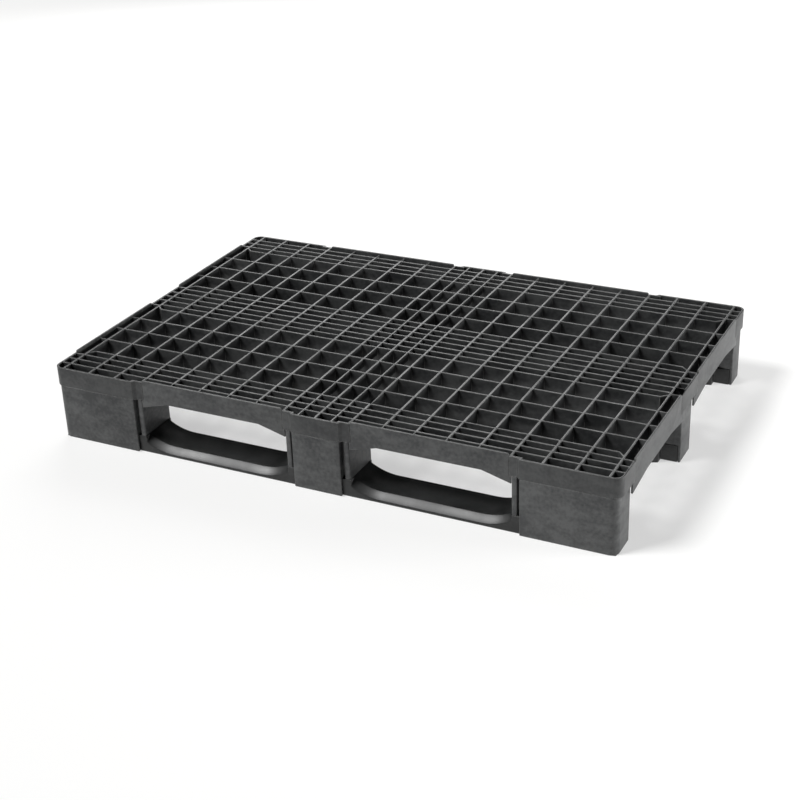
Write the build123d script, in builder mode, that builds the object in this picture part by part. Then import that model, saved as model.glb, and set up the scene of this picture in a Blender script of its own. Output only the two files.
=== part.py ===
"""Plastic pallet, 1200 x 800 mm, with an open grid deck, nine feet and three bottom runners.

Millimetres, +Z up, origin on the floor under the middle of the pallet. X runs along the
long sides, and the front is the long side at -Y. Every part is a separate moulding: the
deck grid, eight clip-on edge rails, nine feet that are screwed up into the deck, and three
runners that are screwed up into the feet.
"""

from build123d import *
import math
import os

# Overall sizes.
pallet_length = 1200.0
pallet_width = 800.0
deck_height = 156.0  # floor to the rib tops
lip_height = 4.0  # edge rails above the rib tops
deck_depth = 40.0  # full-depth ribs and skirt
slat_depth = 18.0  # the close ribs over the feet

# Walls and ribs.
skirt_wall = 4.0
bearer_rib = 4.5  # ribs that run front to back
cross_rib = 3.2  # ribs that run left to right
rail_wall = 4.0
foot_wall = 4.0
web_wall = 3.0

# Where the feet stand.
middle_half_length = 70.0  # half the middle feet, along X
middle_half_width = 70.5  # half the middle row of feet, along Y
corner_length = 208.0  # end feet, along X from the end of the deck
corner_width = 95.0  # front and back feet, along Y from the side of the deck
edge_cell = 23.4  # last column of cells, outside the edge rib
edge_strip = 27.5  # last row of cells, outside the edge row
slat_columns = 2
wide_columns = 5
end_columns = 3
slat_rows = 3
wide_rows = 4
edge_rows = 3
kink = 12.0  # the 45 degree turn of a boundary rib at the edge rib

# Outline.
plate_proud = 6.0  # the feet's plates stand this far outside the long-side rails
plate_setback = 17.0  # from a foot's side to the edge of its plate
groove_width = 6.0
groove_depth = 8.0
corner_radius = 18.0
pilaster_radius = 3.5
end_step = 4.5  # the feet's end faces, behind the deck's skirt
end_gap_near = 55.0  # short-side rails, from the middle of the side
end_gap_far = 75.0  # short-side rails, from the corner

# Feet.
seat_height = 36.0  # where a foot stands on its runner
foot_top = 4.0
middle_nose_width = 62.0
corner_nose_width = 63.0
nose_length = 38.5
nose_step = 15.0
taper_length = 57.0
foot_corner_radius = 16.0
foot_edge_radius = 4.0

# Runners.
runner_height = 18.0
ramp_length = 62.0
bevel_height = 13.0
bevel_width = 14.0
inner_bevel = 8.0
end_plate = 5.5  # the feet's end plates, outside the runners' ends
pocket_roof = 5.0
pocket_count = 5  # pockets under each span of a runner
runner_rib = 6.0
seat_boss_radius = 10.0

# Rails.
side_gusset_length = 58.0
side_gusset_height = 16.0
end_rail_drop = 11.0  # short-side rails reach this far below the deck
end_gusset_length = 80.0
end_gusset_height = 10.0
hook_width = 24.0
hook_thickness = 4.0
hook_barb = 2.5
hook_length = 5.0
hook_rise = 10.0  # underside of a hook above the deck's underside
lip_rounding = 0.85  # end radius of a lip, as a share of its height

# Screws.
shank_radius = 3.0
head_radius = 6.0
head_height = 4.0
socket_radius = 2.2
socket_depth = 2.5
point_length = 4.0
point_radius = 0.75
bite = 16.0  # shank inside the boss that it holds
hole_spare = 2.0
boss_radius = 7.5
seat_rise = 8.0  # a runner screw's head above the floor

# Fits.
gap = 0.3  # between mouldings
thread_gap = 0.1
hole_gap = 0.5

over = 1.0  # how far a cutting shape reaches past what it cuts

half_length = pallet_length / 2
half_width = pallet_width / 2
deck_bottom = deck_height - deck_depth
slat_bottom = deck_height - slat_depth
rail_top = deck_height + lip_height
recess = half_width - plate_proud
corner_start = half_length - corner_length
band_start = half_width - corner_width
foot_side = middle_half_length - bearer_rib / 2 + gap
corner_side = corner_start + bearer_rib / 2 - gap
foot_end = half_length - end_step
middle_plate = foot_side - plate_setback  # a middle foot's plate ends here
corner_plate = corner_side + plate_setback  # a corner foot's plate starts here
foot_ceiling = deck_bottom - foot_top
edge_row = half_width - edge_strip
quadrants = [(sx, sy) for sx in (-1, 1) for sy in (-1, 1)]


def spaced(start, stop, count):
    """The far ends of `count` equal steps from start to stop."""
    return [start + (stop - start) * step / count for step in range(1, count + 1)]


def both_sides(lines):
    """Lines on both sides of the middle, in order, with the middle line once."""
    return sorted({sign * line for line in lines for sign in (-1, 1)})


edge_column = half_length - edge_cell
slat_x = spaced(0, middle_half_length, slat_columns)
wide_x = spaced(middle_half_length, corner_start, wide_columns)
end_x = spaced(corner_start, edge_column, end_columns)
bearer_lines = both_sides([0, middle_half_length] + wide_x + end_x)
slat_y = spaced(0, middle_half_width, slat_rows)
wide_y = spaced(middle_half_width, band_start, wide_rows)
edge_y = spaced(band_start, edge_row, edge_rows)
cross_lines = both_sides([0, middle_half_width] + wide_y)

# The pockets that the rails clip into.
side_pocket_start = middle_half_length + bearer_rib / 2
side_pocket_end = corner_start - bearer_rib / 2
side_pocket_wall = edge_row + cross_rib / 2
end_pocket_start = end_gap_near
end_pocket_end = half_width - end_gap_far
end_pocket_wall = edge_column + bearer_rib / 2

# Screws, four to a foot between foot and deck, two between runner and foot.
foot_columns = {
    "left": [-x for x in end_x[:-1]],
    "middle": [-slat_x[0], slat_x[0]],
    "right": end_x[:-1],
}
deck_screw_rows = {
    "front": [-edge_y[0], -edge_y[-1]],
    "middle": [-slat_y[0], slat_y[0]],
    "back": [edge_y[0], edge_y[-1]],
}
runner_side = recess - gap
runner_end = foot_end - end_plate - gap
side_runner_middle = (band_start + runner_side) / 2
runner_line = {"front": -side_runner_middle, "middle": 0.0, "back": side_runner_middle}


def deck_screw_points(row, column):
    """Where one foot is screwed to the deck."""
    return [(x, y) for x in foot_columns[column] for y in deck_screw_rows[row]]


def runner_screw_points(row, column):
    """Where one foot is screwed to its runner."""
    return [(x, runner_line[row]) for x in foot_columns[column]]


def rectangle_between(x0, x1, y0, y1, mode=Mode.ADD):
    """A rectangle in the current sketch, given by its corners."""
    with Locations(((x0 + x1) / 2, (y0 + y1) / 2)):
        Rectangle(abs(x1 - x0), abs(y1 - y0), mode=mode)


def deck_outline():
    """The deck's plan: plates stand proud at the feet, with pockets for the rails between."""
    rectangle_between(-half_length, half_length, -half_width, half_width)
    for sx, sy in quadrants:
        Polygon(
            (sx * middle_plate, sy * half_width),
            (sx * (middle_plate + plate_proud), sy * recess),
            (sx * side_pocket_start, sy * recess),
            (sx * side_pocket_start, sy * side_pocket_wall),
            (sx * side_pocket_end, sy * side_pocket_wall),
            (sx * side_pocket_end, sy * recess),
            (sx * (corner_plate - plate_proud), sy * recess),
            (sx * corner_plate, sy * half_width),
            align=None,
            mode=Mode.SUBTRACT,
        )
        rectangle_between(
            sx * end_pocket_wall,
            sx * half_length,
            sy * end_pocket_start,
            sy * end_pocket_end,
            mode=Mode.SUBTRACT,
        )


def behind_plates():
    """How far the cells behind the proud plates reach along the side, as +x ranges."""
    side = bearer_rib / 2
    ends = [corner_start] + end_x
    ranges = [(side, middle_plate - skirt_wall)]
    for a, b in zip(ends[:-1], ends[1:]):
        ranges.append((max(a + side, corner_plate + skirt_wall), b - side))
    return ranges


def deck_cells():
    """The centres of the full-depth cells, by cell size."""
    side, across = bearer_rib / 2, cross_rib / 2
    columns = list(zip(bearer_lines[:-1], bearer_lines[1:]))
    rows = list(zip(cross_lines[:-1], cross_lines[1:]))
    cells = [(a + side, b - side, c + across, d - across) for a, b in columns for c, d in rows]
    for a, b in columns:
        at_rail = middle_half_length <= min(abs(a), abs(b)) < corner_start - side
        outer = edge_row - across if at_rail else recess - skirt_wall
        for sign in (-1, 1):
            cells.append((a + side, b - side, sign * (band_start + across), sign * outer))
    for x0, x1 in behind_plates():
        for sx, sy in quadrants:
            cells.append((sx * x0, sx * x1, sy * (edge_row + across), sy * (half_width - skirt_wall)))
    outside = (end_pocket_wall, half_length - skirt_wall)
    for sign in (-1, 1):
        x0, x1 = (sign * value for value in outside)
        inner = end_pocket_start - skirt_wall
        cells.append((x0, x1, -inner, inner))
        for sy in (-1, 1):
            cells.append((x0, x1, sy * (end_pocket_end + skirt_wall), sy * (half_width - skirt_wall)))
    by_size = {}
    for x0, x1, y0, y1 in cells:
        size = (round(abs(x1 - x0), 6), round(abs(y1 - y0), 6))
        by_size.setdefault(size, []).append(((x0 + x1) / 2, (y0 + y1) / 2))
    return by_size


def kinked_ribs():
    """Turns the ribs beside each band of slats through 45 degrees at the edge rib."""
    inside = edge_column - bearer_rib / 2
    for sx, sy in quadrants:
        for line, turn in ((middle_half_width, -1), (band_start, 1)):
            rectangle_between(
                sx * (inside - kink),
                sx * inside,
                sy * (line - cross_rib / 2),
                sy * (line + cross_rib / 2),
                mode=Mode.SUBTRACT,
            )
            with Locations((sx * (inside - kink / 2), sy * (line + turn * kink / 2))):
                Rectangle(kink * math.sqrt(2) + cross_rib, cross_rib, rotation=45 * sx * sy * turn)


def slats():
    """The close ribs of the bands over the feet."""
    lines = [sign * y for y in slat_y[:-1] + edge_y for sign in (-1, 1)]
    with Locations([(0, y) for y in lines]):
        Rectangle(2 * edge_column, cross_rib)
    with Locations([(sign * slat_x[0], 0) for sign in (-1, 1)]):
        Rectangle(cross_rib, 2 * (half_width - skirt_wall / 2))
    short = edge_cell - skirt_wall / 2
    outer_lines = [sign * y for y in [slat_y[0]] + edge_y[1:] for sign in (-1, 1)] + [0]
    with Locations([(sx * (edge_column + short / 2), y) for sx in (-1, 1) for y in outer_lines]):
        Rectangle(short, cross_rib)


def round_corners(vertices, x, y, radius):
    """Rounds the four corners at (+-x, +-y) of the current sketch."""
    corners = [v for v in vertices if math.isclose(abs(v.X), x) and math.isclose(abs(v.Y), y)]
    fillet(corners, radius=radius)


def cell_centres(start, lines):
    """The middle of each cell from start through lines."""
    edges = [start] + lines
    return [(a + b) / 2 for a, b in zip(edges[:-1], edges[1:])]


side_hooks = cell_centres(middle_half_length, wide_x)
end_hooks = cell_centres(middle_half_width, wide_y)


def screw_holes(points, radius, low, high):
    """Upright round holes from one height to another."""
    with BuildSketch(Plane.XY.offset(low)) as holes:
        with Locations(points):
            Circle(radius)
    extrude(holes.sketch, amount=high - low, mode=Mode.SUBTRACT)


def bosses(points, low, high):
    """Upright round posts from one height to another."""
    with BuildSketch(Plane.XY.offset(low)) as posts:
        with Locations(points):
            Circle(boss_radius)
    extrude(posts.sketch, amount=high - low)


def make_deck():
    """The deck grid: skirt, deep ribs, shallow slats, screw bosses and windows for the hooks."""
    points = [
        point
        for row in deck_screw_rows
        for column in foot_columns
        for point in deck_screw_points(row, column)
    ]
    window_low = deck_bottom + hook_rise - gap
    window_height = hook_thickness + hook_barb + 2 * gap
    with BuildPart() as deck:
        with BuildSketch(Plane.XY.offset(deck_bottom)) as ribs:
            deck_outline()
            for size, centres in deck_cells().items():
                with Locations(centres):
                    Rectangle(*size, mode=Mode.SUBTRACT)
            kinked_ribs()
            round_corners(ribs.vertices(), half_length, half_width, corner_radius)
            inside = (half_length - skirt_wall, half_width - skirt_wall)
            round_corners(ribs.vertices(), *inside, corner_radius - skirt_wall)
        extrude(amount=deck_depth)
        with BuildSketch(Plane.XY.offset(slat_bottom)):
            slats()
        extrude(amount=slat_depth)
        bosses(points, deck_bottom, slat_bottom)
        screw_holes(points, shank_radius + thread_gap, deck_bottom, deck_bottom + bite + hole_spare)
        with BuildSketch(Plane.XY.offset(window_low)):
            with Locations([(sx * x, sy * edge_row) for x in side_hooks for sx, sy in quadrants]):
                Rectangle(hook_width + 2 * gap, cross_rib + 2 * over)
            with Locations([(sx * edge_column, sy * y) for y in end_hooks for sx, sy in quadrants]):
                Rectangle(bearer_rib + 2 * over, hook_width + 2 * gap)
        extrude(amount=window_height, mode=Mode.SUBTRACT)
    deck.part.label = "deck_grid"
    return deck.part


def rail_hooks(centres, wall_inner, rail_inner, along_x, sx, sy):
    """Tongues through the deck's windows, each with a barb behind the deck's wall."""
    low = deck_bottom + hook_rise
    tip = wall_inner - gap - hook_length
    for centre in centres:
        for start, stop, top in (
            (tip, rail_inner, low + hook_thickness),
            (tip, wall_inner - gap, low + hook_thickness + hook_barb),
        ):
            with BuildSketch(Plane.XY.offset(low)) as hook:
                if along_x:
                    x0, x1 = sx * (centre - hook_width / 2), sx * (centre + hook_width / 2)
                    rectangle_between(x0, x1, sy * start, sy * stop)
                else:
                    y0, y1 = sy * (centre - hook_width / 2), sy * (centre + hook_width / 2)
                    rectangle_between(sx * start, sx * stop, y0, y1)
            extrude(hook.sketch, amount=top - low)


def make_side_rail(sx, sy, name):
    """A long-side edge rail: outer plate with a raised lip, end gussets, webs and hooks."""
    low_end = foot_side + gap
    high_end = corner_side - gap
    start = side_pocket_start + gap
    end = side_pocket_end - gap
    under = deck_bottom - gap
    lip_radius = lip_rounding * lip_height
    with BuildPart() as rail:
        with BuildSketch(Plane.XZ.offset(-sy * recess)):
            with BuildLine():
                Polyline(
                    (sx * start, rail_top),
                    (sx * end, rail_top),
                    (sx * end, under),
                    (sx * high_end, under),
                    (sx * high_end, deck_bottom - side_gusset_height),
                    (sx * (high_end - side_gusset_length), deck_bottom),
                    (sx * (low_end + side_gusset_length), deck_bottom),
                    (sx * low_end, deck_bottom - side_gusset_height),
                    (sx * low_end, under),
                    (sx * start, under),
                    close=True,
                )
            outline = make_face()
            fillet(outline.vertices().group_by(Axis.Y)[-1], radius=lip_radius)
        extrude(amount=sy * rail_wall)
        inner = recess - rail_wall
        with BuildSketch(Plane.XY.offset(deck_bottom)):
            for line in wide_x[:-1]:
                x0, x1 = sx * (line - web_wall / 2), sx * (line + web_wall / 2)
                rectangle_between(x0, x1, sy * (side_pocket_wall + gap), sy * inner)
        extrude(amount=deck_depth)
        rail_hooks(side_hooks, edge_row - cross_rib / 2, inner, True, sx, sy)
    rail.part.label = name
    return rail.part


def make_end_rail(sx, sy, name):
    """A short-side edge rail, deeper than the deck and with shallow gussets to the feet."""
    low_end = middle_nose_width / 2 + gap
    high_end = half_width - corner_nose_width - gap
    start = end_pocket_start + gap
    end = end_pocket_end - gap
    under = deck_bottom - gap
    bottom = deck_bottom - end_rail_drop
    lip_radius = lip_rounding * lip_height
    with BuildPart() as rail:
        with BuildSketch(Plane.YZ.offset(sx * half_length)):
            with BuildLine():
                Polyline(
                    (sy * start, rail_top),
                    (sy * end, rail_top),
                    (sy * end, under),
                    (sy * high_end, under),
                    (sy * high_end, bottom - end_gusset_height),
                    (sy * (high_end - end_gusset_length), bottom),
                    (sy * (low_end + end_gusset_length), bottom),
                    (sy * low_end, bottom - end_gusset_height),
                    (sy * low_end, under),
                    (sy * start, under),
                    close=True,
                )
            outline = make_face()
            fillet(outline.vertices().group_by(Axis.Y)[-1], radius=lip_radius)
        extrude(amount=-sx * rail_wall)
        inner = half_length - rail_wall
        with BuildSketch(Plane.XY.offset(deck_bottom)):
            for line in wide_y[:-1]:
                y0, y1 = sy * (line - web_wall / 2), sy * (line + web_wall / 2)
                rectangle_between(sx * (end_pocket_wall + gap), sx * inner, y0, y1)
        extrude(amount=deck_depth)
        rail_hooks(end_hooks, edge_column - bearer_rib / 2, inner, False, sx, sy)
    rail.part.label = name
    return rail.part


def lead_in(side, nose):
    """A foot's side near the short end: a taper, a step and the narrow nose, as +x points."""
    out = math.copysign(1.0, nose - side)
    shoulder = foot_end - nose_length
    return [
        (shoulder - taper_length, side),
        (shoulder, nose - out * nose_step),
        (shoulder, nose),
    ]


def jamb(foot_x, plate_x):
    """A foot's front corner at a window: plate edge, groove and pilaster, as +x +y points."""
    inward = math.copysign(groove_width, foot_x - plate_x)
    return [
        (plate_x, half_width),
        (plate_x, recess - groove_depth),
        (plate_x + inward, recess - groove_depth),
        (plate_x + inward, recess),
        (foot_x, recess),
    ]


corner_lead_in = lead_in(band_start, half_width - corner_nose_width)
middle_lead_in = lead_in(middle_half_width, middle_nose_width / 2)


def foot_plan(row, column):
    """A foot's outline from above."""
    sx = {"left": -1, "middle": 1, "right": 1}[column]
    sy = {"front": -1, "middle": 1, "back": 1}[row]
    if column == "middle" and row == "middle":
        points = [(x * foot_side, y * middle_half_width) for x, y in ((-1, -1), (1, -1), (1, 1), (-1, 1))]
    elif column == "middle":
        right = [(foot_side, band_start)] + jamb(foot_side, middle_plate)[::-1]
        points = right + [(-x, y) for x, y in right[::-1]]
    elif row == "middle":
        back = [(corner_side, middle_half_width)] + middle_lead_in + [(foot_end, middle_nose_width / 2)]
        points = back + [(x, -y) for x, y in back[::-1]]
    else:
        points = [(corner_side, band_start)] + corner_lead_in
        points += [(foot_end, half_width - corner_nose_width), (foot_end, half_width)]
        points += jamb(corner_side, corner_plate)
    return [(sx * x, sy * y) for x, y in points]


def foot_pockets(row, column):
    """The hollows inside a foot, each as a list of corner points."""
    sx = {"left": -1, "middle": 1, "right": 1}[column]
    sy = {"front": -1, "middle": 1, "back": 1}[row]
    wall, web = foot_wall, web_wall / 2
    shoulder = foot_end - nose_length
    taper = shoulder - taper_length
    deep = recess - wall
    shallow = recess - groove_depth - wall
    pockets = []
    if column == "middle":
        split = middle_plate - wall
        for s in (-1, 1):
            if row == "middle":
                inside = middle_half_width - wall
                pockets.append(corners(s * web, s * (foot_side - wall), -inside, inside))
            else:
                low = band_start + wall
                pockets.append(corners(s * web, s * split, low, deep))
                pockets.append(corners(s * (split + web_wall), s * (foot_side - wall), low, shallow))
    elif row == "middle":
        inside = middle_half_width - wall
        pockets.append(corners(corner_side + wall, taper - web, -inside, inside))
        narrow = middle_nose_width / 2 - wall
        ends = [(taper + web, inside), (shoulder - wall, narrow + nose_step - wall / 2)]
        pockets.append(ends + [(x, -y) for x, y in ends[::-1]])
        pockets.append(corners(shoulder, foot_end - end_plate, -narrow, narrow))
    else:
        low = band_start + wall
        split = corner_plate + wall
        narrow = half_width - corner_nose_width + wall
        pockets.append(corners(corner_side + wall, split - web_wall, low, shallow))
        pockets.append(corners(split, taper - web, low, deep))
        ends = [(taper + web, low + wall / 2), (shoulder - wall, narrow - nose_step + wall / 2)]
        pockets.append(ends + [(shoulder - wall, deep), (taper + web, deep)])
        pockets.append(corners(shoulder, foot_end - foot_corner_radius, narrow, deep))
    return [[(sx * x, sy * y) for x, y in pocket] for pocket in pockets]


def corners(x0, x1, y0, y1):
    """The corner points of a rectangle."""
    return [(x0, y0), (x1, y0), (x1, y1), (x0, y1)]


def near(vertices, points):
    """The vertices that stand at any of the points, in plan."""
    return [v for v in vertices if any(math.dist((v.X, v.Y), point) < 0.01 for point in points)]


def make_foot(row, column, name):
    """A hollow foot: ceiling and walls, screw posts, and plates that reach down to the floor."""
    sx = {"left": -1, "middle": 1, "right": 1}[column]
    sy = {"front": -1, "middle": 1, "back": 1}[row]
    sides = (-1, 1) if column == "middle" else (sx,)
    foot_x = foot_side if column == "middle" else corner_side
    has_plate = row != "middle"
    has_end = column != "middle"
    base = 0.0 if has_plate or has_end else seat_height
    posts = runner_screw_points(row, column)
    with BuildPart() as foot:
        with BuildSketch(Plane.XY.offset(base)) as plan:
            Polygon(*foot_plan(row, column), align=None)
            if has_plate:
                fillet(near(plan.vertices(), [(s * foot_x, sy * recess) for s in sides]), pilaster_radius)
                inner = [(s * foot_x, sy * band_start) for s in sides]
            else:
                inner = [(s * foot_x, t * middle_half_width) for s in sides for t in (-1, 1)]
            fillet(near(plan.vertices(), inner), foot_edge_radius)
            if has_plate and has_end:
                fillet(near(plan.vertices(), [(sx * foot_end, sy * half_width)]), foot_corner_radius)
        extrude(amount=deck_bottom - base)
        for pocket in foot_pockets(row, column):
            with BuildSketch(Plane.XY.offset(base)):
                Polygon(*pocket, align=None)
            extrude(amount=foot_ceiling - base, mode=Mode.SUBTRACT)
        if base == 0.0:
            outer_y = recess if has_plate else middle_half_width + gap
            inner_y = band_start - gap if has_plate else -outer_y
            outer_x = foot_end - end_plate if has_end else foot_x + gap
            inner_x = foot_x - gap if has_end else -outer_x
            with BuildSketch(Plane.XY):
                rectangle_between(sx * inner_x, sx * outer_x, sy * inner_y, sy * outer_y)
            extrude(amount=seat_height, mode=Mode.SUBTRACT)
        bosses(posts, seat_height, foot_ceiling)
        hole_top = seat_height + bite + hole_spare
        screw_holes(posts, shank_radius + thread_gap, seat_height, hole_top)
        screw_holes(
            deck_screw_points(row, column), shank_radius + hole_gap, foot_ceiling, deck_bottom
        )
    foot.part.label = name
    return foot.part


def span(plane, side, drop):
    """The space over a runner between two feet, in its side view, lowered by drop."""
    low, high, clear = runner_height - drop, seat_height - drop, seat_height + drop + over
    inner, outer = foot_side, corner_side
    with BuildSketch(plane) as space:
        with BuildLine():
            TangentArc(
                (side * (inner + ramp_length), low), (side * inner, high), tangent=(-side, 0)
            )
            Line((side * (inner + ramp_length), low), (side * (outer - ramp_length), low))
            TangentArc(
                (side * (outer - ramp_length), low), (side * outer, high), tangent=(side, 0)
            )
            Polyline(
                (side * outer, high), (side * outer, clear), (side * inner, clear), (side * inner, high)
            )
        make_face()
    return space.sketch


def runner_plan(row):
    """A runner's outline from above, with the same lead-ins as the feet on it."""
    if row == "middle":
        back = middle_lead_in + [(runner_end, middle_nose_width / 2)]
        right = [(x, -y) for x, y in back] + back[::-1]
    else:
        right = corner_lead_in + [(runner_end, half_width - corner_nose_width), (runner_end, runner_side)]
    sy = -1 if row == "front" else 1
    return [(x, sy * y) for x, y in right] + [(-x, sy * y) for x, y in right[::-1]]


def runner_pockets(row):
    """The hollows under a runner, as (corner points, roof height)."""
    sy = -1 if row == "front" else 1
    rib = runner_rib
    shoulder = foot_end - nose_length
    taper = shoulder - taper_length
    if row == "middle":
        halves = [(rib / 2, middle_half_width - rib - inner_bevel)]
        halves.append((-halves[0][0], -halves[0][1]))
        block = [(rib / 2, middle_half_width - rib), (-rib / 2, rib - middle_half_width)]
        nose = [(-(middle_nose_width / 2 - rib), middle_nose_width / 2 - rib)]
    else:
        halves = [
            (band_start + rib + inner_bevel, side_runner_middle - rib / 2),
            (side_runner_middle + rib / 2, runner_side - bevel_width - rib / 2),
        ]
        block = [
            (band_start + rib, side_runner_middle - rib / 2),
            (side_runner_middle + rib / 2, runner_side - rib),
        ]
        nose = [(half_width - corner_nose_width + rib, runner_side - rib)]
    edges = [foot_side] + spaced(foot_side, corner_side, pocket_count)
    low_roof, high_roof = runner_height - pocket_roof, seat_height - pocket_roof
    columns = [(a + rib / 2, b - rib / 2, halves, low_roof) for a, b in zip(edges[:-1], edges[1:])]
    columns.append((corner_side + rib, taper - rib, block, high_roof))
    columns.append((shoulder + rib, runner_end - rib, nose, high_roof))
    columns.append((-foot_side + rib, foot_side - rib, block, high_roof))
    pockets = []
    for x0, x1, ranges, roof in columns:
        for y0, y1 in ranges:
            for s in (-1, 1) if x0 > 0 else (1,):
                pockets.append((corners(s * x0, s * x1, sy * y0, sy * y1), roof))
    return pockets


def make_runner(row, name):
    """A runner: raised under the feet, low and bevelled between them, and hollow below."""
    points = [point for column in foot_columns for point in runner_screw_points(row, column)]
    sy = -1 if row == "front" else 1
    outer, inner = (middle_half_width, -middle_half_width) if row == "middle" else (runner_side, band_start)
    outer_bevel = (inner_bevel, inner_bevel) if row == "middle" else (bevel_width, bevel_height)
    with BuildPart() as runner:
        with BuildSketch():
            Polygon(*runner_plan(row), align=None)
        extrude(amount=seat_height)
        for side in (-1, 1):
            through = span(Plane.XZ.offset(-sy * outer), side, 0.0)
            extrude(through, amount=sy * (outer - inner), mode=Mode.SUBTRACT)
            for edge, direction, (width, height) in (
                (outer, -1, outer_bevel),
                (inner, 1, (inner_bevel, inner_bevel)),
            ):
                above = span(Plane.XZ.offset(-sy * edge), side, height)
                slope = Vector(0, sy * direction * width, height)
                extrude(above, amount=slope.length, dir=slope, mode=Mode.SUBTRACT)
        for pocket, roof in runner_pockets(row):
            with BuildSketch():
                Polygon(*pocket, align=None)
            extrude(amount=roof, mode=Mode.SUBTRACT)
        with BuildSketch():
            with Locations(points):
                Circle(seat_boss_radius)
        extrude(amount=seat_height)
        with Locations(*[Location((x, y, 0), (180, 0, 0)) for x, y in points]):
            CounterBoreHole(
                radius=shank_radius + hole_gap,
                counter_bore_radius=head_radius + hole_gap,
                counter_bore_depth=seat_rise + head_height,
                depth=seat_height,
            )
    runner.part.label = name
    return runner.part


def make_screws(points, seat, grip, name):
    """A group of pan-head screws that point up, with their heads under the seat."""
    shank = grip + bite - point_length
    with BuildPart() as screws:
        with Locations([(x, y, seat - head_height) for x, y in points]):
            Cylinder(head_radius, head_height, align=(Align.CENTER, Align.CENTER, Align.MIN))
        with Locations([(x, y, seat) for x, y in points]):
            Cylinder(shank_radius, shank, align=(Align.CENTER, Align.CENTER, Align.MIN))
        with Locations([(x, y, seat + shank) for x, y in points]):
            Cone(
                shank_radius,
                point_radius,
                point_length,
                align=(Align.CENTER, Align.CENTER, Align.MIN),
            )
        with BuildSketch(Plane.XY.offset(seat - head_height)):
            with Locations(points):
                RegularPolygon(socket_radius, 6)
        extrude(amount=socket_depth, mode=Mode.SUBTRACT)
    screws.part.label = name
    return screws.part


def main():
    """Makes every piece and writes one file for each."""
    pieces = [make_deck()]
    x_names, y_names = {-1: "left", 1: "right"}, {-1: "front", 1: "back"}
    for sx, sy in quadrants:
        pieces.append(make_side_rail(sx, sy, "edge_rail_" + y_names[sy] + "_" + x_names[sx]))
        pieces.append(make_end_rail(sx, sy, "edge_rail_" + x_names[sx] + "_" + y_names[sy]))
    for row in runner_line:
        pieces.append(make_runner(row, "runner_" + row))
        for column in foot_columns:
            place = "centre" if (row, column) == ("middle", "middle") else row + "_" + column
            pieces.append(make_foot(row, column, "foot_" + place))
        feet = list(foot_columns)
        deck_points = [point for column in feet for point in deck_screw_points(row, column)]
        runner_points = [point for column in feet for point in runner_screw_points(row, column)]
        pieces.append(make_screws(deck_points, foot_ceiling, foot_top, "deck_screws_" + row))
        head_seat = seat_rise + head_height
        pieces.append(
            make_screws(runner_points, head_seat, seat_height - head_seat, "runner_screws_" + row)
        )
    os.makedirs("parts", exist_ok=True)
    for piece in pieces:
        export_step(piece, "parts/" + piece.label + ".step")


main()
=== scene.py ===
"""The plastic pallet's looks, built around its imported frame. Metres, +Z up."""

import bmesh
import bpy
import math
from mathutils import Matrix, Vector


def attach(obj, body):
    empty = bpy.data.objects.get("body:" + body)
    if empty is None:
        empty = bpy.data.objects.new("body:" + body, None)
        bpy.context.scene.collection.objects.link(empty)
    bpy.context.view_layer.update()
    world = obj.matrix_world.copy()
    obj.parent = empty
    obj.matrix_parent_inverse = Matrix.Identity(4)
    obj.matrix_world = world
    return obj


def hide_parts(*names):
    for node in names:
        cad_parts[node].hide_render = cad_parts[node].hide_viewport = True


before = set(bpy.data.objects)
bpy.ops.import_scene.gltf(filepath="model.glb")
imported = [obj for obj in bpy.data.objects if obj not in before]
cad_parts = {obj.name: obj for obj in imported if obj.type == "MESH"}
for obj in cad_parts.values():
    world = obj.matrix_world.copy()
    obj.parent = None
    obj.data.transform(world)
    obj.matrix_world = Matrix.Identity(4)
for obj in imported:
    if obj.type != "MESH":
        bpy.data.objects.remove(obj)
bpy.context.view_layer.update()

MM = 0.001

# Camera, measured from the middle of the pallet on the floor.
camera_place = Vector((1.310, -2.5967, 1.464))
camera_azimuth = math.radians(-27.175)
camera_elevation = math.radians(26.567)
camera_roll = math.radians(-2.209)
camera_focal = 69.5

# Studio light: the surround by the height of the direction, the soft boxes in watts.
horizon_fade = 0.14  # sine of the height at which the pale surround has faded to the ceiling
horizon_light = 0.95
ceiling_light = 0.01
key_strength = 3.3
key_width = 21.0  # degrees of sky that the key light fills
key_direction = (-0.49, -0.40, 0.774)  # from the left, the front and above
right_place, right_size, right_power = (3.0, 0.5, 0.55), 1.0, 72.0
back_place, back_size, back_power = (-1.5, 2.9, 1.75), 2.6, 70.0
box_target = (0, 0, 0.1)
floor_glow = 0.52
floor_size = 60.0
floor_drop = 0.2 * MM  # keeps the floor clear of the undersides that stand on it

# The deck's inner lattice: rib sizes, and places measured from the middle of the pallet.
deck_top = 156.0 * MM
rib_depth = 40.0 * MM
slat_depth = 18.0 * MM
bearer_thickness = 4.5 * MM
cross_thickness = 3.2 * MM
rib_draft = 0.3 * MM  # taken off each side of a rib's foot
block_edge_x = 70.0 * MM
corner_edge_x = 392.0 * MM
edge_rib_x = 576.6 * MM
block_edge_y = 70.5 * MM
band_edge_y = 305.0 * MM
slat_x = 35.0 * MM
# Cells in a quarter of the deck: along X over the window and over a corner foot, and along Y
# over half of a middle foot and over the passage beside it.
wide_columns, end_columns, slat_rows, wide_rows = 5, 3, 3, 4
kink = 12.0 * MM  # how far a rib beside the middle slats is turned in at its end
post_radius = 7.5 * MM
post_sides = 32
hole_radius = 3.1 * MM
hole_depth = 18.0 * MM
shaved = 0.2 * MM  # off the inner face of the ribs round the lattice, for a clean joint

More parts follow.
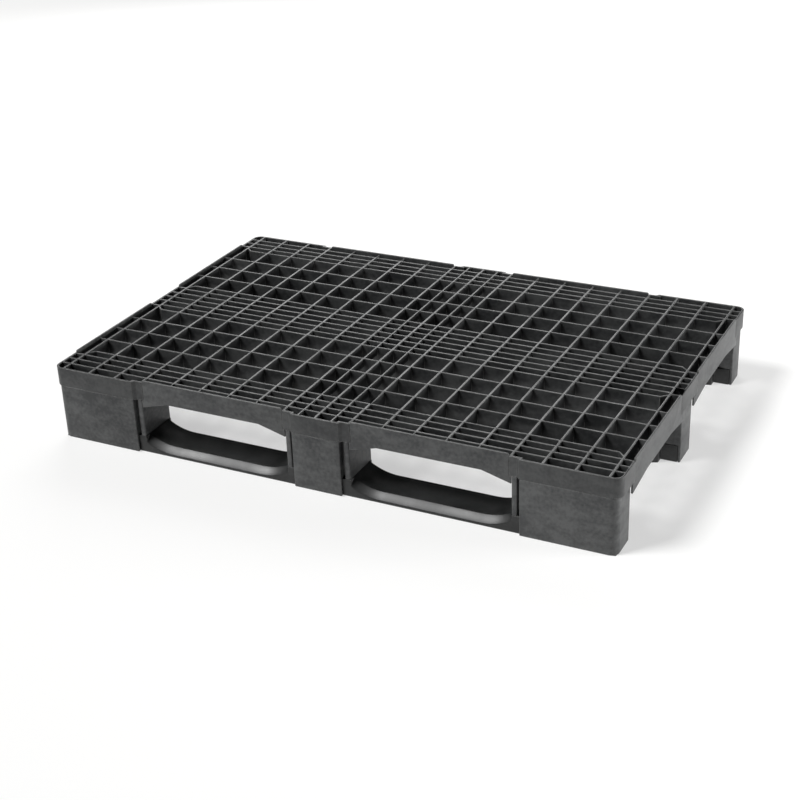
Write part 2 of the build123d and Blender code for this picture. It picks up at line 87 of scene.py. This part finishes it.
# Screws. A seat is the height of the face that a head bears on.
shank_radius = 2.95 * MM
root_radius = 2.4 * MM
head_radius = 6.0 * MM
head_height = 4.0 * MM
head_chamfer = 0.8 * MM
head_rounding = 1.4 * MM
head_relief = 0.3 * MM
socket_radius = 2.2 * MM
socket_depth = 2.5 * MM
thread_pitch = 2.0 * MM
point_length = 4.0 * MM
point_radius = 0.7 * MM
screw_sides = 18
deck_screw_seat = 112.0 * MM
runner_screw_seat = 12.0 * MM
deck_screw_length = 20.0 * MM
runner_screw_length = 40.0 * MM
edge_row_y = 372.5 * MM
first_edge_row_y = 327.5 * MM
side_runner_y = 349.35 * MM

# Softened edges of the mouldings.
deck_edge = 0.7 * MM
rail_edge = 1.2 * MM
foot_edge = 2.0 * MM
runner_edge = 1.5 * MM
softened_angle = math.radians(25)  # edges sharper than this are softened
moulding_crease = math.radians(50)
screw_crease = math.radians(40)
weld_distance = 0.005 * MM
flat_angle = math.radians(0.3)


def add(tree, kind, sockets=None, **settings):
    """Adds a node with its settings, its input values and its links."""
    made = tree.nodes.new(kind)
    for name, value in settings.items():
        setattr(made, name, value)
    for name, value in (sockets or {}).items():
        for source in value if isinstance(value, list) else [value]:
            if isinstance(source, bpy.types.NodeSocket):
                tree.links.new(source, made.inputs[name])
            else:
                made.inputs[name].default_value = source
    return made


def srgb(code):
    """A hex colour as linear values."""
    parts = [int(code[i : i + 2], 16) / 255 for i in (1, 3, 5)]
    linear = [c / 12.92 if c <= 0.04045 else ((c + 0.055) / 1.055) ** 2.4 for c in parts]
    return (*linear, 1.0)


def recycled_polypropylene(name, dark, light, roughness, scuff_and_highlight):
    """Black polypropylene from recyclate, moulded in a blasted steel mould.

    The eye gets a charcoal that drifts in slow clouds where the melt met, faint flow streaks,
    a fine grain from the mould, shallow sink marks, and paler edges that are partly rubbed wear
    and partly a painted highlight.
    """
    material = bpy.data.materials.new(name)
    material.use_nodes = True
    tree = material.node_tree
    shader = tree.nodes["Principled BSDF"]
    place = add(tree, "ShaderNodeTexCoord").outputs["Object"]
    # Clouds about 90 mm across and streaks about 16 mm high.
    clouds = add(tree, "ShaderNodeTexNoise", {"Vector": place, "Scale": 11.0, "Detail": 3.0})
    stretched = add(tree, "ShaderNodeMapping", {"Vector": place, "Scale": (28.0, 28.0, 60.0)})
    fibres = {"Vector": stretched.outputs[0], "Scale": 1.0, "Detail": 4.0}
    streaks = add(tree, "ShaderNodeTexNoise", fibres)
    # Mottle about 7 mm across, from the blend of old plastics.
    mottle = add(tree, "ShaderNodeTexNoise", {"Vector": place, "Scale": 140.0, "Detail": 3.0})
    broad = {0: streaks.outputs["Fac"], 1: 0.8, 2: clouds.outputs["Fac"]}
    mixed = add(tree, "ShaderNodeMath", broad, operation="MULTIPLY_ADD")
    both = {0: mottle.outputs["Fac"], 1: 0.8, 2: mixed.outputs[0]}
    mixed = add(tree, "ShaderNodeMath", both, operation="MULTIPLY_ADD")
    spread = {"Value": mixed.outputs[0], "From Min": 1.08, "From Max": 1.52}
    drift = add(tree, "ShaderNodeMapRange", spread)
    body = add(
        tree,
        "ShaderNodeMix",
        {"Factor": drift.outputs[0], 6: srgb(dark), 7: srgb(light)},
        data_type="RGBA",
    )
    # Edges paler over 2 mm to each side, hollow edges as well as outer ones: partly rubbed wear,
    # partly a painted highlight, broken up by a 6 mm noise.
    surface = add(tree, "ShaderNodeNewGeometry")
    rounded = add(tree, "ShaderNodeBevel", {"Radius": 2.0 * MM}, samples=4)
    along = {0: surface.outputs["Normal"], 1: rounded.outputs[0]}
    turned = add(tree, "ShaderNodeVectorMath", along, operation="DOT_PRODUCT")
    wear_and_highlight_breakup = add(tree, "ShaderNodeTexNoise", {"Vector": place, "Scale": 160.0, "Detail": 2.0})
    fall = {"Value": turned.outputs["Value"], "From Min": 0.995, "From Max": 0.92}
    wear_and_highlight_edges = add(tree, "ShaderNodeMapRange", fall)
    broken = {0: wear_and_highlight_edges.outputs[0], 1: wear_and_highlight_breakup.outputs["Fac"]}
    rubbed_and_highlit = add(tree, "ShaderNodeMath", broken, operation="MULTIPLY")
    wear_and_highlight_amount = add(tree, "ShaderNodeMath", {0: rubbed_and_highlit.outputs[0], 1: scuff_and_highlight}, operation="MULTIPLY")
    # Mixes in the pale edge colour, which is partly rubbed wear and partly a painted highlight.
    paint = add(
        tree,
        "ShaderNodeMix",
        {"Factor": wear_and_highlight_amount.outputs[0], 6: body.outputs[2], 7: srgb("#8a8a88")},
        data_type="RGBA",
    )
    tree.links.new(paint.outputs[2], shader.inputs["Base Color"])
    # The clouds are a little glossier where they are darker.
    sheen = {"Value": clouds.outputs["Fac"], "From Min": 0.3, "From Max": 0.7}
    sheen |= {"To Min": roughness - 0.06, "To Max": roughness + 0.08}
    gloss = add(tree, "ShaderNodeMapRange", sheen)
    tree.links.new(gloss.outputs[0], shader.inputs["Roughness"])
    # The mould's grain is about 0.1 mm, and is drawn at 0.9 mm so that it shows. The sinks are
    # about 36 mm across.
    grain = add(tree, "ShaderNodeTexNoise", {"Vector": place, "Scale": 1100.0, "Detail": 2.0})
    sinks = add(tree, "ShaderNodeTexNoise", {"Vector": place, "Scale": 28.0, "Detail": 1.0})
    sunk = {"Height": sinks.outputs["Fac"], "Distance": 0.5 * MM, "Strength": 0.3}
    slow = add(tree, "ShaderNodeBump", sunk)
    blasted = {"Height": grain.outputs["Fac"], "Distance": 0.03 * MM, "Strength": 0.2}
    fine = add(tree, "ShaderNodeBump", blasted | {"Normal": slow.outputs[0]})
    tree.links.new(fine.outputs[0], shader.inputs["Normal"])
    shader.inputs["IOR"].default_value = 1.49
    return material


def zinc_plated_steel():
    """Rolled steel screws, plated with bright zinc: a cool grey in blotches of about 1.4 mm."""
    material = bpy.data.materials.new("zinc_plated_steel")
    material.use_nodes = True
    tree = material.node_tree
    shader = tree.nodes["Principled BSDF"]
    place = add(tree, "ShaderNodeTexCoord").outputs["Object"]
    blotch = add(tree, "ShaderNodeTexNoise", {"Vector": place, "Scale": 700.0, "Detail": 2.0})
    tone = add(
        tree,
        "ShaderNodeMix",
        {"Factor": blotch.outputs["Fac"], 6: srgb("#b4b8bc"), 7: srgb("#d3d4d0")},
        data_type="RGBA",
    )
    tree.links.new(tone.outputs[2], shader.inputs["Base Color"])
    shader.inputs["Metallic"].default_value = 1.0
    shader.inputs["Roughness"].default_value = 0.32
    return material


def new_group(name, sizes):
    """An empty Geometry Nodes tree with a geometry input, named sizes and a geometry output."""
    tree = bpy.data.node_groups.new(name, "GeometryNodeTree")
    tree.interface.new_socket("Geometry", in_out="INPUT", socket_type="NodeSocketGeometry")
    for size, kind in sizes.items():
        tree.interface.new_socket(size, in_out="INPUT", socket_type="NodeSocket" + kind)
    tree.interface.new_socket("Geometry", in_out="OUTPUT", socket_type="NodeSocketGeometry")
    given = add(tree, "NodeGroupInput").outputs
    return tree, given


def applied(piece):
    """A plain mesh of a piece with its modifiers, which are removed."""
    bpy.context.view_layer.update()
    graph = bpy.context.evaluated_depsgraph_get()
    made = bpy.data.meshes.new_from_object(piece.evaluated_get(graph))
    piece.modifiers.clear()
    return made


def evaluated(piece, tree, values):
    """The mesh that a Geometry Nodes tree makes of a piece. Its inputs are set by identifier."""
    nodes = piece.modifiers.new(tree.name, "NODES")
    nodes.node_group = tree
    for item in tree.interface.items_tree:
        if item.in_out == "INPUT" and item.name in values:
            nodes[item.identifier] = values[item.name]
    return applied(piece)


def finish_tree(tree, shape, material):
    """Makes the shape real, gives it its material and hands it out of the tree."""
    real = add(tree, "GeometryNodeRealizeInstances", {"Geometry": shape})
    coated = {"Geometry": real.outputs[0], "Material": material}
    finished = add(tree, "GeometryNodeSetMaterial", coated)
    add(tree, "NodeGroupOutput", {"Geometry": finished.outputs[0]})


def points_in_line(tree, count, first, last):
    """Equally spaced points from the first place to the last."""
    sockets = {"Count": count, "Start Location": first, "Offset": last}
    return add(tree, "GeometryNodeMeshLine", sockets, mode="END_POINTS").outputs[0]


def rib_row_tree():
    """Equal straight ribs in a row, hung from the deck's top, each thinner at its foot."""
    sizes = {"First": "Vector", "Last": "Vector", "Count": "Int", "Thickness": "Float"}
    sizes |= {"Length": "Float", "Depth": "Float", "Draft": "Float", "Turn": "Float"}
    tree, given = new_group("rib_row", sizes)
    line = points_in_line(tree, given["Count"], given["First"], given["Last"])
    size = {"X": given["Thickness"], "Y": given["Length"], "Z": given["Depth"]}
    sides = add(tree, "ShaderNodeCombineXYZ", size)
    block = add(tree, "GeometryNodeMeshCube", {"Size": sides.outputs[0]})
    corner = add(tree, "GeometryNodeInputPosition")
    place = add(tree, "ShaderNodeSeparateXYZ", {"Vector": corner.outputs[0]})
    foot = add(tree, "FunctionNodeCompare", {0: place.outputs["Z"], 1: 0.0}, operation="LESS_THAN")
    side = add(tree, "ShaderNodeMath", {0: place.outputs["X"]}, operation="SIGN")
    outward = {0: side.outputs[0], 1: given["Draft"]}
    outward = add(tree, "ShaderNodeMath", outward, operation="MULTIPLY")
    shift = add(tree, "ShaderNodeMath", {0: outward.outputs[0], 1: -1.0}, operation="MULTIPLY")
    drafted = add(
        tree,
        "GeometryNodeSetPosition",
        {
            "Geometry": block.outputs["Mesh"],
            "Selection": foot.outputs[0],
            "Offset": add(tree, "ShaderNodeCombineXYZ", {"X": shift.outputs[0]}).outputs[0],
        },
    )
    down = add(tree, "ShaderNodeMath", {0: given["Depth"], 1: -0.5}, operation="MULTIPLY")
    hung = add(
        tree,
        "GeometryNodeTransform",
        {
            "Geometry": drafted.outputs[0],
            "Translation": add(tree, "ShaderNodeCombineXYZ", {"Z": down.outputs[0]}).outputs[0],
        },
    )
    turn = add(tree, "ShaderNodeCombineXYZ", {"Z": given["Turn"]})
    ribs = add(
        tree,
        "GeometryNodeInstanceOnPoints",
        {
            "Points": line,
            "Instance": hung.outputs[0],
            "Rotation": add(tree, "FunctionNodeEulerToRotation", {0: turn.outputs[0]}).outputs[0],
        },
    )
    add(tree, "NodeGroupOutput", {"Geometry": ribs.outputs[0]})
    return tree


def post_row_tree():
    """Equal upright posts in a row, each from its point upwards."""
    sizes = {"First": "Vector", "Last": "Vector", "Count": "Int"}
    sizes |= {"Radius": "Float", "Height": "Float"}
    tree, given = new_group("post_row", sizes)
    line = points_in_line(tree, given["Count"], given["First"], given["Last"])
    post = add(
        tree,
        "GeometryNodeMeshCylinder",
        {"Vertices": post_sides, "Radius": given["Radius"], "Depth": given["Height"]},
    )
    up = add(tree, "ShaderNodeMath", {0: given["Height"], 1: 0.5}, operation="MULTIPLY")
    stood = add(
        tree,
        "GeometryNodeTransform",
        {
            "Geometry": post.outputs["Mesh"],
            "Translation": add(tree, "ShaderNodeCombineXYZ", {"Z": up.outputs[0]}).outputs[0],
        },
    )
    upright = {"Points": line, "Instance": stood.outputs[0]}
    posts = add(tree, "GeometryNodeInstanceOnPoints", upright)
    add(tree, "NodeGroupOutput", {"Geometry": posts.outputs[0]})
    return tree


def deck_lattice_tree():
    """The deck with its inner lattice made anew from rows of drafted ribs, and drilled posts."""
    sizes = {"Rib depth": "Float", "Slat depth": "Float", "Bearer thickness": "Float"}
    sizes |= {"Cross thickness": "Float", "Draft": "Float"}
    sizes |= {"Post radius": "Float", "Hole radius": "Float"}
    tree, given = new_group("deck_lattice", sizes | {"Material": "Material"})
    rib_row, post_row = rib_row_tree(), post_row_tree()
    ribs, holes = [], []

    def row(first, last, count, thickness, length, depth, turn=0.0):
        sockets = {"First": (*first, deck_top), "Last": (*last, deck_top), "Count": count}
        sockets |= {"Thickness": thickness, "Length": length, "Depth": depth}
        sockets |= {"Draft": given["Draft"], "Turn": turn}
        ribs.append(add(tree, "GeometryNodeGroup", sockets, node_tree=rib_row).outputs[0])

    bearer, cross = given["Bearer thickness"], given["Cross thickness"]
    deep, shallow = given["Rib depth"], given["Slat depth"]
    wide_step = (corner_edge_x - block_edge_x) / wide_columns
    end_step = (edge_rib_x - corner_edge_x) / end_columns
    row_step = (band_edge_y - block_edge_y) / wide_rows
    slat_step = block_edge_y / slat_rows
    last_bearer = edge_rib_x - end_step
    across, along = 2 * band_edge_y, 2 * edge_rib_x
    # Ribs from front to back.
    row((-block_edge_x, 0), (block_edge_x, 0), 3, bearer, across, deep)
    row((-slat_x, 0), (slat_x, 0), 2, cross, across, shallow)
    first_wide, first_end = block_edge_x + wide_step, corner_edge_x + end_step
    for s in (-1, 1):
        row((s * first_wide, 0), (s * corner_edge_x, 0), wide_columns, bearer, across, deep)
        row((s * first_end, 0), (s * last_bearer, 0), end_columns - 1, bearer, across, deep)
    # Ribs from left to right.
    quarter = math.pi / 2
    last_slat = block_edge_y - slat_step
    row((0, -last_slat), (0, last_slat), 2 * slat_rows - 1, cross, along, shallow, quarter)
    straight = 2 * (edge_rib_x - bearer_thickness / 2 - kink)
    row((0, -block_edge_y), (0, block_edge_y), 2, cross, straight, deep, quarter)
    for s in (-1, 1):
        first, last = s * (block_edge_y + row_step), s * (band_edge_y - row_step)
        row((0, first), (0, last), wide_rows - 1, cross, along, deep, quarter)
    # The turned ends of the ribs beside the middle slats.
    turned_x, turned_y = (straight + kink) / 2, block_edge_y - kink / 2
    turned_length = kink * math.sqrt(2) + cross_thickness
    for sx in (-1, 1):
        for sy in (-1, 1):
            place = (sx * turned_x, sy * turned_y)
            row(place, place, 1, cross, turned_length, deep, sx * sy * quarter / 2)
    # Screw posts under the middle slats, and the holes in them.
    low = deck_top - rib_depth
    for x0, x1 in ((-last_bearer, -first_end), (-slat_x, slat_x), (first_end, last_bearer)):
        for y in (-slat_step, slat_step):
            for made, drop, radius, height in (
                (ribs, 0.0, given["Post radius"], rib_depth - slat_depth),
                (holes, MM, given["Hole radius"], hole_depth + MM),
            ):
                sockets = {"First": (x0, y, low - drop), "Last": (x1, y, low - drop), "Count": 2}
                sockets |= {"Radius": radius, "Height": height}
                made.append(add(tree, "GeometryNodeGroup", sockets, node_tree=post_row).outputs[0])
    # The old lattice is cut out of the deck as one block, and the new one takes its place.
    core_x = along - bearer_thickness + 2 * shaved
    core_y = across - cross_thickness + 2 * shaved
    block = add(tree, "GeometryNodeMeshCube", {"Size": (core_x, core_y, 4 * rib_depth)})
    raised = {"Geometry": block.outputs["Mesh"], "Translation": (0, 0, deck_top)}
    centred = add(tree, "GeometryNodeTransform", raised)
    surround = add(
        tree,
        "GeometryNodeMeshBoolean",
        {"Mesh 1": given["Geometry"], "Mesh 2": centred.outputs[0]},
        operation="DIFFERENCE",
        solver="MANIFOLD",
    )
    joined = add(
        tree,
        "GeometryNodeMeshBoolean",
        {"Mesh 2": [surround.outputs[0]] + ribs},
        operation="UNION",
        solver="MANIFOLD",
    )
    drilled = add(
        tree,
        "GeometryNodeMeshBoolean",
        {"Mesh 1": joined.outputs[0], "Mesh 2": holes},
        operation="DIFFERENCE",
        solver="MANIFOLD",
    )
    finish_tree(tree, drilled.outputs[0], given["Material"])
    return tree


def screw_rows_tree():
    """One screw, set out in two columns under each of three feet."""
    sizes = {"Near": "Float", "Far": "Float", "Middle": "Float", "First row": "Float"}
    sizes |= {"Last row": "Float", "Rows": "Int", "Seat": "Float", "Material": "Material"}
    tree, given = new_group("screw_rows", sizes)
    near, middle, far = given["Near"], given["Middle"], given["Far"]
    minus_near, minus_middle, minus_far = (
        add(tree, "ShaderNodeMath", {0: x, 1: -1.0}, operation="MULTIPLY").outputs[0]
        for x in (near, middle, far)
    )
    columns = []
    for x0, x1 in ((minus_far, minus_near), (minus_middle, middle), (near, far)):
        start = add(tree, "ShaderNodeCombineXYZ", {"X": x0}).outputs[0]
        end = add(tree, "ShaderNodeCombineXYZ", {"X": x1}).outputs[0]
        columns.append(points_in_line(tree, 2, start, end))
    across = add(tree, "GeometryNodeJoinGeometry", {"Geometry": columns})
    first = add(tree, "ShaderNodeCombineXYZ", {"Y": given["First row"], "Z": given["Seat"]})
    last = add(tree, "ShaderNodeCombineXYZ", {"Y": given["Last row"], "Z": given["Seat"]})
    rows = points_in_line(tree, given["Rows"], first.outputs[0], last.outputs[0])
    repeated = {"Points": rows, "Instance": across.outputs[0]}
    grid = add(tree, "GeometryNodeInstanceOnPoints", repeated)
    points = add(tree, "GeometryNodeRealizeInstances", {"Geometry": grid.outputs[0]})
    placed = {"Points": points.outputs[0], "Instance": given["Geometry"]}
    screws = add(tree, "GeometryNodeInstanceOnPoints", placed)
    finish_tree(tree, screws.outputs[0], given["Material"])
    return tree


def screw_mesh(length):
    """A pan-head screw with a hexagon socket, point up, with its head's seat at zero."""
    floor, rim = socket_depth - head_height, -head_height
    # Radius, height and whether the ring is the hexagon's, from the socket's floor to the point.
    rings = [(socket_radius, floor, True), (socket_radius, rim, True)]
    rings.append((head_radius - head_chamfer, rim, False))
    rings.append((head_radius - 0.25 * head_chamfer, rim + 0.75 * head_chamfer, False))
    rings += [(head_radius, rim + head_rounding, False), (head_radius, -0.5 * MM, False)]
    rings += [(head_radius - head_relief, 0.0, False), (root_radius, 0.0, False)]
    threads = int((length - point_length) / thread_pitch)
    for turn in range(threads):
        start = (turn + 0.2) * thread_pitch
        rings.append((root_radius, start, False))
        rings.append((shank_radius, start + 0.3 * thread_pitch, False))
        rings.append((root_radius, start + 0.6 * thread_pitch, False))
    rings += [(root_radius, length - point_length, False), (point_radius, length, False)]
    shape = bmesh.new()
    loops = []
    for radius, z, hexagon in rings:
        loop = []
        for step in range(screw_sides):
            angle = 2 * math.pi * step / screw_sides
            flat = math.cos(math.pi / 6) / math.cos(angle % (math.pi / 3) - math.pi / 6)
            reach = radius * flat if hexagon else radius
            loop.append(shape.verts.new((reach * math.cos(angle), reach * math.sin(angle), z)))
        loops.append(loop)
    for low, high in zip(loops[:-1], loops[1:]):
        for step in range(screw_sides):
            after = (step + 1) % screw_sides
            shape.faces.new((low[step], low[after], high[after], high[step]))
    shape.faces.new(loops[0][::-1])
    shape.faces.new(loops[-1])
    bmesh.ops.recalc_face_normals(shape, faces=shape.faces)
    mesh = bpy.data.meshes.new("screw")
    shape.to_mesh(mesh)
    shape.free()
    return mesh


def linked(name, mesh):
    """A new object at the origin with a mesh."""
    piece = bpy.data.objects.new(name, mesh)
    bpy.context.scene.collection.objects.link(piece)
    return piece


def screw_group(node, tree, material):
    """The screws of one node, set out by the tree."""
    kind, _, place = node.partition("_screws_")
    end_step = (edge_rib_x - corner_edge_x) / end_columns
    side = {"front": -1, "middle": 0, "back": 1}[place]
    values = {"Near": corner_edge_x + end_step, "Far": edge_rib_x - end_step, "Middle": slat_x}
    if kind == "deck":
        slat_step = block_edge_y / slat_rows
        rows = (side * first_edge_row_y, side * edge_row_y) if side else (-slat_step, slat_step)
        values |= {"Seat": deck_screw_seat, "Rows": 2}
    else:
        rows = (side * side_runner_y, side * side_runner_y)
        values |= {"Seat": runner_screw_seat, "Rows": 1}
    values |= {"First row": rows[0], "Last row": rows[1], "Material": material}
    length = deck_screw_length if kind == "deck" else runner_screw_length
    piece = linked(node + "_turned", screw_mesh(length))
    piece.data.materials.append(material)
    piece.data = evaluated(piece, tree, values)
    smooth_by_angle(piece.data, screw_crease)
    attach(piece, "root")
    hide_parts(node)
    return piece


def merged(shape):
    """Joins doubled corners and flat neighbours."""
    bmesh.ops.remove_doubles(shape, verts=shape.verts, dist=weld_distance)
    bmesh.ops.dissolve_limit(
        shape, angle_limit=flat_angle, verts=shape.verts, edges=shape.edges
    )


def softened(node, width, material, lattice=None):
    """A CAD moulding's merged copy with softened edges, which stands for its node.

    With a lattice tree, that tree works on the copy before its edges are softened.
    """
    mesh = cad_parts[node].data.copy()
    mesh.name = node + "_moulding"
    shape = bmesh.new()
    shape.from_mesh(mesh)
    if lattice:
        bmesh.ops.remove_doubles(shape, verts=shape.verts, dist=weld_distance)
    else:
        merged(shape)
    shape.to_mesh(mesh)
    shape.free()
    mesh.materials.clear()
    mesh.materials.append(material)
    piece = linked(mesh.name, mesh)
    if lattice:
        values = {"Rib depth": rib_depth, "Slat depth": slat_depth, "Draft": rib_draft}
        values |= {"Bearer thickness": bearer_thickness, "Cross thickness": cross_thickness}
        values |= {"Post radius": post_radius, "Hole radius": hole_radius}
        values["Material"] = material
        piece.data = evaluated(piece, lattice, values)
        shape = bmesh.new()
        shape.from_mesh(piece.data)
        merged(shape)
        shape.to_mesh(piece.data)
        shape.free()
    bevel = piece.modifiers.new("softened edges", "BEVEL")
    bevel.width = width
    bevel.segments = 2
    bevel.limit_method = "ANGLE"
    bevel.angle_limit = softened_angle
    bevel.harden_normals = False
    bevel.use_clamp_overlap = False
    piece.data = applied(piece)
    smooth_by_angle(piece.data, moulding_crease)
    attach(piece, "root")
    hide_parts(node)
    return piece


def smooth_by_angle(mesh, angle):
    """Marks the edges sharper than angle, so that only they break the shading."""
    shape = bmesh.new()
    shape.from_mesh(mesh)
    for edge in shape.edges:
        edge.smooth = edge.calc_face_angle(math.pi) < angle
    for face in shape.faces:
        face.smooth = True
    shape.to_mesh(mesh)
    shape.free()


# The grid's plastic is a darker copy of the feet's: painted shade for the deep cells of the
# lattice.
grid_plastic_with_painted_shade = recycled_polypropylene("recycled_pp_grid_painted_shade", "#222324", "#393a3a", 0.41, 1.0)
rail_plastic = recycled_polypropylene("recycled_pp_rail", "#2c2d2e", "#474848", 0.45, 1.0)
foot_plastic = recycled_polypropylene("recycled_pp_foot", "#2c2d2e", "#4a4b4b", 0.47, 1.0)
# The runner's plastic is a darker copy of the same plastic: painted shade for its top under the
# deck.
runner_plastic_with_painted_shade = recycled_polypropylene("recycled_pp_runner_painted_shade", "#121313", "#232424", 0.42, 1.0)
zinc = zinc_plated_steel()
screw_rows = screw_rows_tree()

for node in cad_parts:
    if node.startswith("deck_grid"):
        softened(node, deck_edge, grid_plastic_with_painted_shade, deck_lattice_tree())
    elif node.startswith("edge_rail"):
        softened(node, rail_edge, rail_plastic)
    elif node.startswith("foot"):
        softened(node, foot_edge, foot_plastic)
    elif node.startswith("runner") and "screws" not in node:
        softened(node, runner_edge, runner_plastic_with_painted_shade)
    else:
        screw_group(node, screw_rows, zinc)


def studio():
    """A plain pale floor, and a surround that is pale at the horizon and dim overhead."""
    mesh = bpy.data.meshes.new("studio_floor")
    half = floor_size / 2
    corners = [(-half, -half), (half, -half), (half, half), (-half, half)]
    mesh.from_pydata([(x, y, -floor_drop) for x, y in corners], [], [(0, 1, 2, 3)])
    floor = linked("studio_floor", mesh)
    paper = bpy.data.materials.new("studio_paper")
    paper.use_nodes = True
    shader = paper.node_tree.nodes["Principled BSDF"]
    shader.inputs["Base Color"].default_value = srgb("#b4b4b3")
    shader.inputs["Roughness"].default_value = 0.9
    shader.inputs["Emission Color"].default_value = srgb("#ffffff")
    shader.inputs["Emission Strength"].default_value = floor_glow
    mesh.materials.append(paper)
    world = bpy.data.worlds.new("studio")
    world.use_nodes = True
    tree = world.node_tree
    direction = add(tree, "ShaderNodeTexCoord").outputs["Generated"]
    height = add(tree, "ShaderNodeSeparateXYZ", {"Vector": direction}).outputs["Z"]
    fade = {"Value": height, "From Max": horizon_fade}
    fade |= {"To Min": horizon_light, "To Max": ceiling_light}
    fall = add(tree, "ShaderNodeMapRange", fade)
    background = tree.nodes["Background"]
    background.inputs["Color"].default_value = srgb("#ffffff")
    tree.links.new(fall.outputs[0], background.inputs["Strength"])
    bpy.context.scene.world = world


def key_light():
    """A wide soft light from far off, so that the floor is evenly pale."""
    light = bpy.data.lights.new("key_light", "SUN")
    light.energy = key_strength
    light.angle = math.radians(key_width)
    lamp = bpy.data.objects.new("key_light", light)
    bpy.context.scene.collection.objects.link(lamp)
    lamp.rotation_euler = Vector(key_direction).to_track_quat("Z", "Y").to_euler()


def soft_box(name, place, size, power):
    """A square area light that looks at the pallet."""
    light = bpy.data.lights.new(name, "AREA")
    light.shape = "SQUARE"
    light.size = size
    light.energy = power
    lamp = bpy.data.objects.new(name, light)
    bpy.context.scene.collection.objects.link(lamp)
    lamp.location = place
    lamp.rotation_euler = (Vector(box_target) - Vector(place)).to_track_quat("-Z", "Y").to_euler()


def camera():
    """The camera, from its azimuth, elevation and roll."""
    ahead = Vector(
        (
            math.sin(camera_azimuth) * math.cos(camera_elevation),
            math.cos(camera_azimuth) * math.cos(camera_elevation),
            -math.sin(camera_elevation),
        )
    )
    right = ahead.cross(Vector((0, 0, 1))).normalized()
    up = right.cross(ahead)
    turned_right = right * math.cos(camera_roll) + up * math.sin(camera_roll)
    turned_up = up * math.cos(camera_roll) - right * math.sin(camera_roll)
    data = bpy.data.cameras.new("camera")
    data.lens = camera_focal
    data.sensor_width = 36.0
    data.dof.use_dof = False
    body = bpy.data.objects.new("camera", data)
    bpy.context.scene.collection.objects.link(body)
    body.matrix_world = Matrix.Translation(camera_place) @ Matrix(
        (turned_right, turned_up, -ahead)
    ).transposed().to_4x4()
    bpy.context.scene.camera = body


studio()
key_light()
soft_box("right_box", right_place, right_size, right_power)
soft_box("back_box", back_place, back_size, back_power)
camera()
bpy.context.scene.view_settings.view_transform = "Standard"
